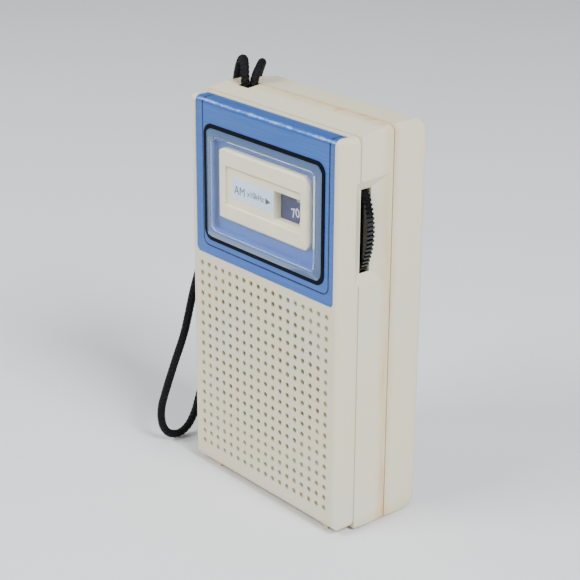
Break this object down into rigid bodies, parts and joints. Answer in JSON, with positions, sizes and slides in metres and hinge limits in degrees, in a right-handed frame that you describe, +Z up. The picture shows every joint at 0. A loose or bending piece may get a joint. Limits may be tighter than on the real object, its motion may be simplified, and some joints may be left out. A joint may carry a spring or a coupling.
{
  "type": "transistor pocket radio",
  "caption": "Cream pocket transistor radio with a grid of loudspeaker holes, a blue panel with a clear dial window, an edge tuning wheel and a black carrying strap",
  "frame": {"origin": "on the standing surface, under the middle of the case", "axes": "+Z up; the front with the loudspeaker holes and the window faces -Y; +X is towards the tuning wheel"},
  "size_m": [0.0751, 0.0345, 0.1157],
  "materials": {
    "cabinet_plastic": "aged cream styrene, satin, yellowed towards the seams",
    "panel_blue": "steel blue satin lacquer with a fine dark line",
    "rim_black": "black paint",
    "lens_clear": "clear acrylic with a bevelled edge",
    "bezel_plastic": "cream styrene",
    "label_print": "pale blue print with grey lettering",
    "dial_navy": "navy with pale numerals",
    "steel_small": "plated steel",
    "wheel_black": "black, ribbed rim",
    "brass_parts": "bare brass",
    "capacitor_plastic": "off-white moulding",
    "control_body": "dark phenolic",
    "jack_black": "black phenolic",
    "nickel_parts": "nickel plate",
    "screen_cloth": "woven cloth, brown",
    "magnet_paint": "dark grey enamel",
    "cone_paper": "pressed paper pulp",
    "board_phenolic": "brown laminate",
    "ferrite_dark": "dark ceramic",
    "coil_wire": "enamelled copper windings",
    "can_metal": "bright drawn metal",
    "core_red": "coloured adjusting core",
    "transistor_black": "black epoxy",
    "electrolytic_sleeve": "blue shrunk sleeve",
    "resistor_body": "tan lacquer with coloured bands",
    "disc_lacquer": "ochre lacquer",
    "coil_tape": "yellow tape",
    "cell_wrap": "printed jacket, plain bands",
    "cord_braid": "black braided cord"
  },
  "bodies": {
    "case": {"front_cabinet": "cabinet_plastic", "rear_cover": "cabinet_plastic", "dial_panel": "panel_blue", "window_rim": "rim_black", "window_lens": "lens_clear", "dial_backplate": "panel_blue", "dial_bezel": "bezel_plastic", "scale_label": "label_print", "dial_washer": "steel_small", "tuning_capacitor": "capacitor_plastic", "volume_control": "control_body", "earphone_jack": "jack_black", "jack_nut": "nickel_parts", "grille_screen": "screen_cloth", "speaker_basket": "steel_small", "speaker_magnet": "magnet_paint", "speaker_cone": "cone_paper", "speaker_cap": "cone_paper", "speaker_clips": "steel_small", "circuit_board": "board_phenolic", "board_screws": "steel_small", "ferrite_rod": "ferrite_dark", "antenna_coil": "coil_wire", "rod_cradles": "capacitor_plastic", "if_cans": "can_metal", "if_cores": "core_red", "transistors": "transistor_black", "electrolytics": "electrolytic_sleeve", "resistors": "resistor_body", "disc_capacitors": "disc_lacquer", "transformer_cores": "steel_small", "transformer_coils": "coil_tape", "battery_cells": "cell_wrap", "cell_buttons": "nickel_parts", "contact_plates": "nickel_parts", "contact_springs": "nickel_parts", "case_screws": "steel_small", "strap_anchor": "capacitor_plastic", "strap_cord": "cord_braid"},
    "tuning": {"tuning_wheel": "wheel_black", "tuning_screw": "steel_small", "tuning_shaft": "brass_parts"},
    "dial": {"dial_disc": "dial_navy"},
    "volume": {"volume_wheel": "wheel_black", "volume_screw": "steel_small"},
    "door": {"battery_door": "cabinet_plastic"}
  },
  "joints": [
    {"name": "tuning_turn", "type": "hinge", "parent": "case", "child": "tuning", "pos_m": [0.0084, -0.005, 0.083], "axis": [0, 1, 0], "range_deg": [-45, 135]},
    {"name": "dial_turn", "type": "hinge", "parent": "case", "child": "dial", "pos_m": [0.01555, -0.0105, 0.08526], "axis": [0, 1, 0], "range_deg": [-203, 68]},
    {"name": "volume_turn", "type": "hinge", "parent": "case", "child": "volume", "pos_m": [-0.0224, -0.005, 0.092], "axis": [0, 1, 0], "range_deg": [0, 270]},
    {"name": "door_slide", "type": "slide", "parent": "case", "child": "door", "axis": [0, 1, 0], "range_m": [0, 0.03]}
  ],
  "couplings": [
    {"joint": "dial_turn", "follows": "tuning_turn", "ratio": -1.5}
  ]
}
